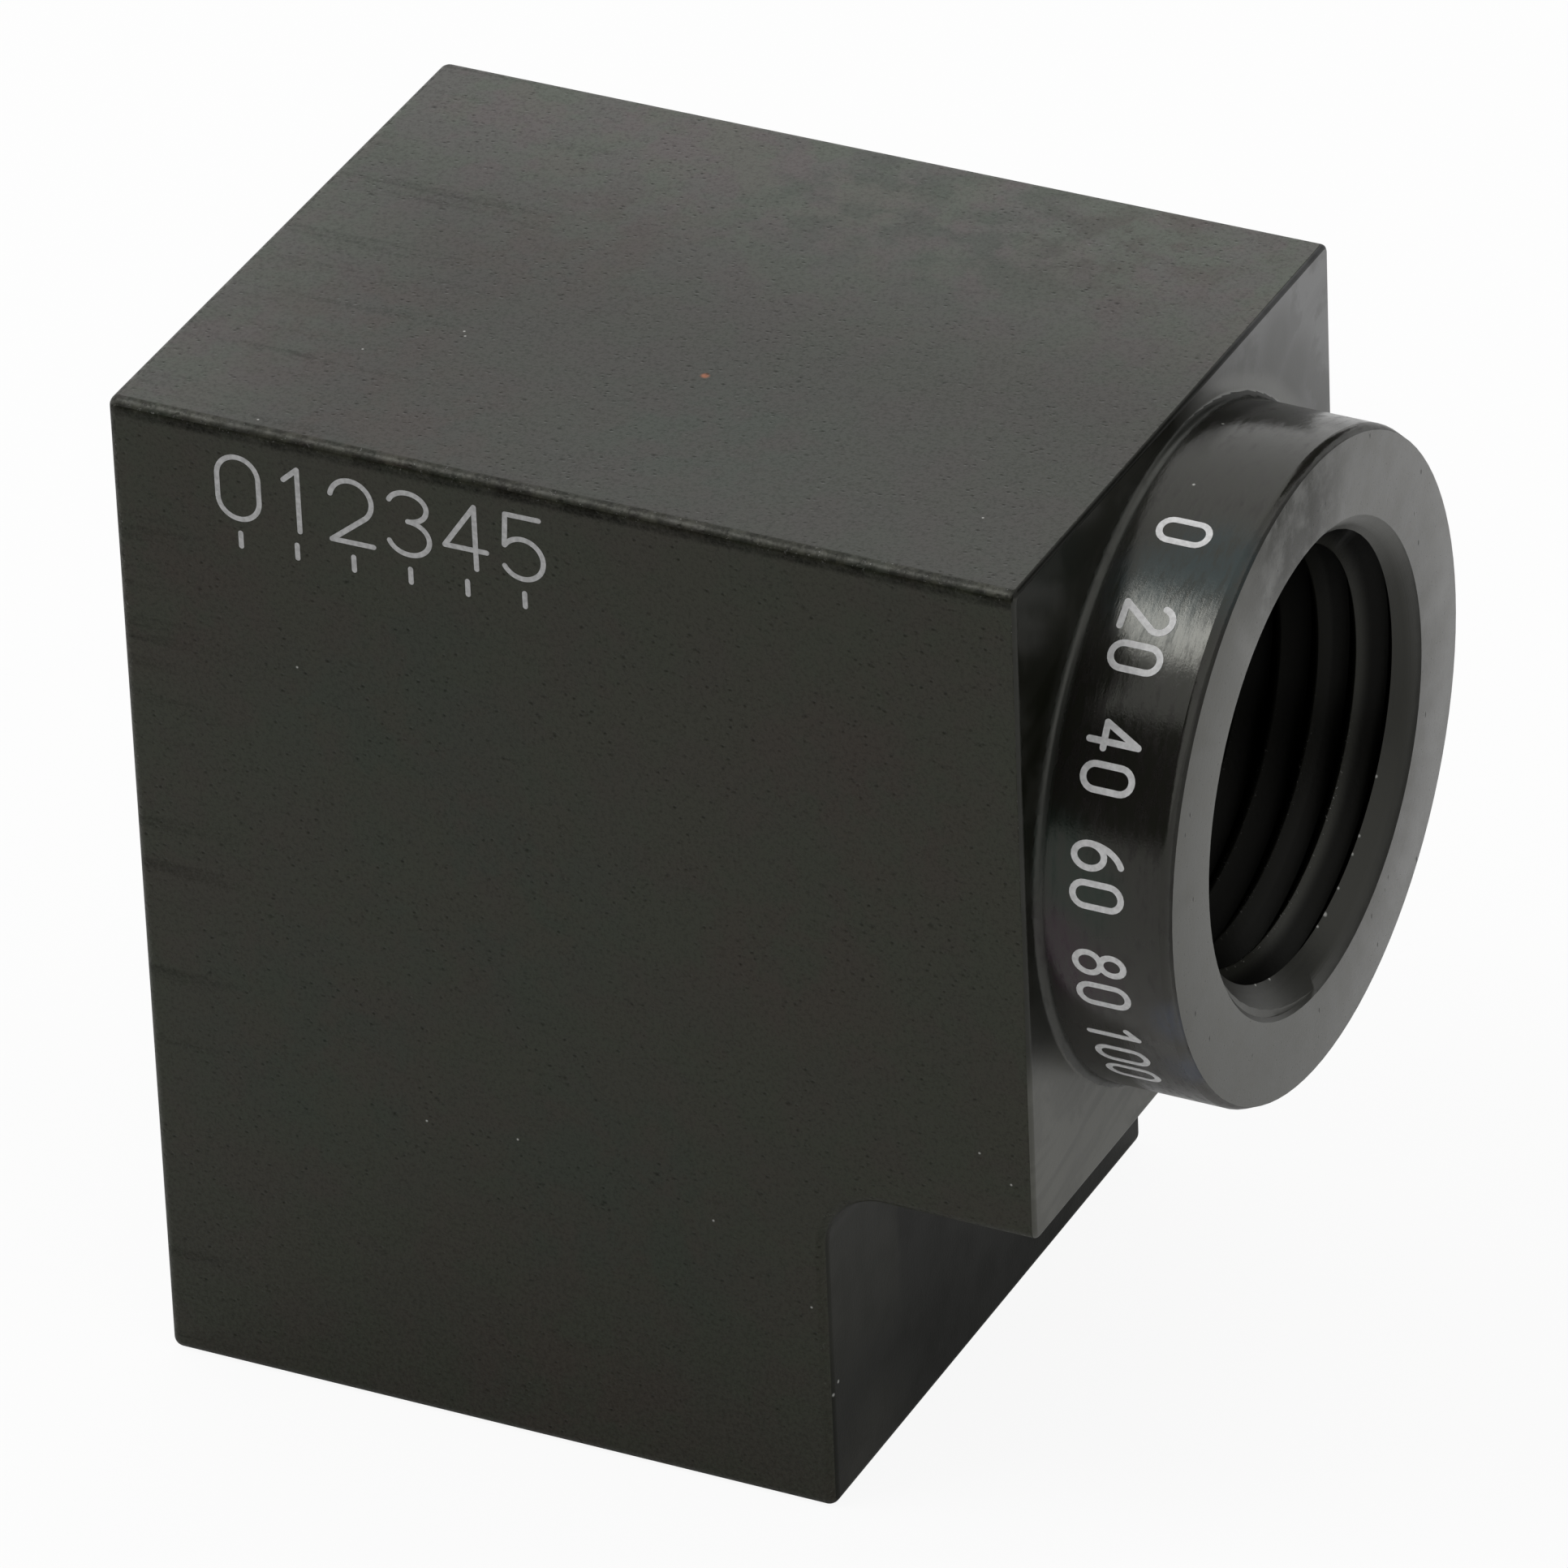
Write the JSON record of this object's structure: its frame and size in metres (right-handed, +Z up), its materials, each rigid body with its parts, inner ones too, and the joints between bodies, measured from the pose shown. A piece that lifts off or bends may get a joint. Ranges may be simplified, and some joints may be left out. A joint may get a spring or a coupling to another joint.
{
  "type": "hydraulic hose adapter",
  "caption": "Black steel block elbow that joins threaded hose ends at a right angle: one port in a round boss on its arm, the other in the foot of its square leg.",
  "frame": {"origin": "centre of the bottom port's mouth, in the plane of the leg's lower end face, on that port's axis and at mid-depth of the bar", "axes": "+Z up the bottom port's axis, +X out of the side port's mouth, Y across the bar's depth"},
  "size_m": [0.0383, 0.025, 0.0381],
  "materials": {
    "black_oxide_steel": "black oxide on milled and turned steel, finely pitted on the bar's own faces and glossier on the turned boss",
    "etched_mark": "pale matt lines where a laser has taken the black oxide off"
  },
  "bodies": {
    "root": {"elbow_block": "black_oxide_steel"}
  },
  "joints": []
}
